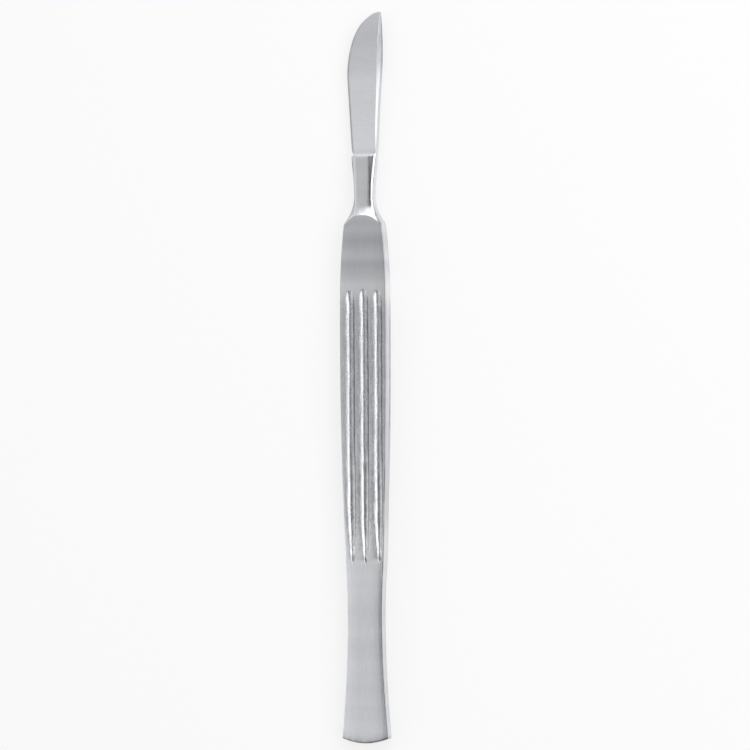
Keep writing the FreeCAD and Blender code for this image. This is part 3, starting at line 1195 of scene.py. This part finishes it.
floor_material.node_tree.links.new(floor_mix, floor_nodes["Material Output"].inputs["Surface"])
floor_plane.data.materials.append(floor_material)
print("the floor is", floor_size, "m square")

# %% [markdown]
# The view is from above and a little from the right side. The camera stands far away with a long lens,
# which keeps both ends at the same scale.

# %% Camera
pixel = 0.20506
picture_width = 750
aim_right = 9.5
aim_up = 2.5
camera_turn = math.radians(15)
camera_roll = math.radians(-0.23)
camera_distance = 1200
sensor_width = 36
view_limit = 10
away = Vector((math.sin(camera_turn), 0, math.cos(camera_turn)))
level_right = Vector((math.cos(camera_turn), 0, -math.sin(camera_turn)))
level_up = Vector((0, 1, 0))
image_right = level_right * math.cos(camera_roll) + level_up * math.sin(camera_roll)
image_up = level_up * math.cos(camera_roll) - level_right * math.sin(camera_roll)
aim = Vector((0, 0, middle_z)) + image_right * (aim_right * pixel) + image_up * (aim_up * pixel)
bpy.ops.object.camera_add()
camera = bpy.context.object
placing = Matrix((image_right, image_up, away)).transposed().to_4x4()
placing.translation = (aim + away * camera_distance) * mm
camera.matrix_world = placing
camera.data.sensor_width = sensor_width
camera.data.lens = sensor_width * camera_distance / (picture_width * pixel)
camera.data.clip_end = view_limit
bpy.context.scene.camera = camera
print("the lens is", round(camera.data.lens), "mm long")

# %% [markdown]
# Metal shows its lamps, so their shape matters more than their strength. A long strip from the right draws
# bright lines in the flutes, a panel from the front lights the flare, and two small ones lift the lower
# handle.

# %% Lamps
small_panel = 0.16
near = 0.36


def panel(name, lean, forward, width, length, radiance, distance=0.7):
    """A soft lamp, sized in metres, that faces the scalpel and leans to the right and towards the tip."""
    toward = Matrix.Rotation(math.radians(lean), 3, "Y") @ Matrix.Rotation(-math.radians(forward), 3, "X")
    bpy.ops.object.light_add(type="AREA")
    lamp = bpy.context.object
    lamp.name = name
    lamp.data.shape = "RECTANGLE"
    lamp.data.size = width
    lamp.data.size_y = length
    lamp.data.energy = radiance * math.pi * width * length
    placing = toward.to_4x4()
    placing.translation = toward @ Vector((0, 0, distance))
    lamp.matrix_world = placing
    return lamp


panel("right_strip", lean=45, forward=4, width=0.55, length=1.1, radiance=1.5)
panel("front_panel", lean=20, forward=45, width=0.8, length=0.6, radiance=1.2)
tail_panel = panel("tail_panel", -17, 0, small_panel, small_panel, radiance=0.24, distance=near)
tail_panel.location.y = -0.11
left_panel = panel("left_panel", -62, 0, width=0.2, length=small_panel, radiance=0.8, distance=near)
left_panel.location.y = -0.12

# %% [markdown]
# The rest of what the steel mirrors is the room: pale on the left and dark on the right, dimmer towards the
# tail and brighter towards the tip. Low down it has pale walls all round, for views from the side.

# %% The room
studio = bpy.data.worlds.new("studio")
bpy.context.scene.world = studio
studio.use_nodes = True
background = studio.node_tree.nodes["Background"]
background.inputs["Color"].default_value = (1, 1, 1, 1)
direction = add_node(studio, "TexCoord").outputs["Generated"]
parts = add_node(studio, "SeparateXYZ", {"Vector": direction})
left_half = [(-1, 0.3), (-0.88, 0.42), (-0.72, 0.86), (-0.55, 0.8), (-0.26, 0.57)]
right_half = [(-0.02, 0.34), (0.12, 0.15), (1, 0.15)]
across_light = along(studio, parts.outputs["X"], -1, 1, left_half + right_half)
towards_tail = stretched(studio, parts.outputs["Y"], -0.9, -0.2, 0.35, 1)
towards_tip = stretched(studio, parts.outputs["Y"], 0.2, 0.5, 1, 1.25)
overhead = combined(studio, "MULTIPLY", across_light, combined(studio, "MULTIPLY", towards_tail, towards_tip))
pale_walls = stretched(studio, parts.outputs["Z"], 0.45, 0.12, 0, 0.45)
studio_light = combined(studio, "ADD", overhead, pale_walls)
studio.node_tree.links.new(studio_light, background.inputs["Strength"])
bpy.context.scene.view_settings.view_transform = "Standard"
print("the room has", len(studio.node_tree.nodes), "nodes")
